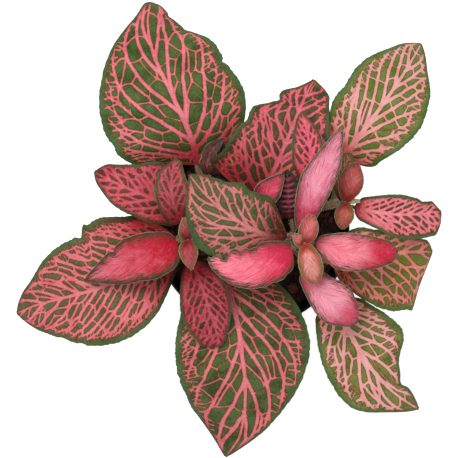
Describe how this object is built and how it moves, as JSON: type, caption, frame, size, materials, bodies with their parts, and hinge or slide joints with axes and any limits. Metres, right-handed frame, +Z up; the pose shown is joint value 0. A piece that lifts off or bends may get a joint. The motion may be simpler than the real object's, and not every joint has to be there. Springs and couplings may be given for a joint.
{
  "type": "potted nerve plant",
  "caption": "Small foliage houseplant with broad net-veined leaves on short shoots, rooted in dark soil in a round black grower's pot.",
  "frame": {"origin": "centre of the pot's underside", "axes": "+Z up along the pot's axis; +Y towards the largest leaf, +X towards the right-hand leaves"},
  "size_m": [0.1925, 0.2091, 0.1513],
  "materials": {
    "pot": "satin black, faintly streaked",
    "soil": "dark damp peat with bark lumps",
    "stem": "pale green to pinkish, softly hairy",
    "leaf_green": "green with a raised pink net of veins, satin",
    "leaf_pink": "pink with a narrow ragged green margin, satin"
  },
  "bodies": {
    "root": {"pot": "pot", "soil": "soil", "shoot_left": "stem", "shoot_centre": "stem", "shoot_right": "stem", "shoot_back": "stem", "leaf_upper_left": "leaf_green", "leaf_upper_right": "leaf_green", "leaf_top_middle": "leaf_green", "leaf_left": "leaf_green", "leaf_bottom": "leaf_green", "leaf_centre": "leaf_green", "leaf_upright_small": "leaf_green", "leaf_left_medium": "leaf_green", "leaf_folded": "leaf_green", "leaf_right": "leaf_green", "leaf_broad_right": "leaf_green", "leaf_lower_right": "leaf_green", "leaf_small_inner": "leaf_green", "leaf_small_curled": "leaf_green", "leaf_upright_pale": "leaf_pink", "leaf_pink_right": "leaf_pink", "leaf_pink_left": "leaf_pink", "leaf_pink_lower": "leaf_pink", "leaf_pink_outer": "leaf_pink", "leaf_dark_pink": "leaf_pink", "leaf_small_shaded": "leaf_pink"}
  },
  "joints": []
}
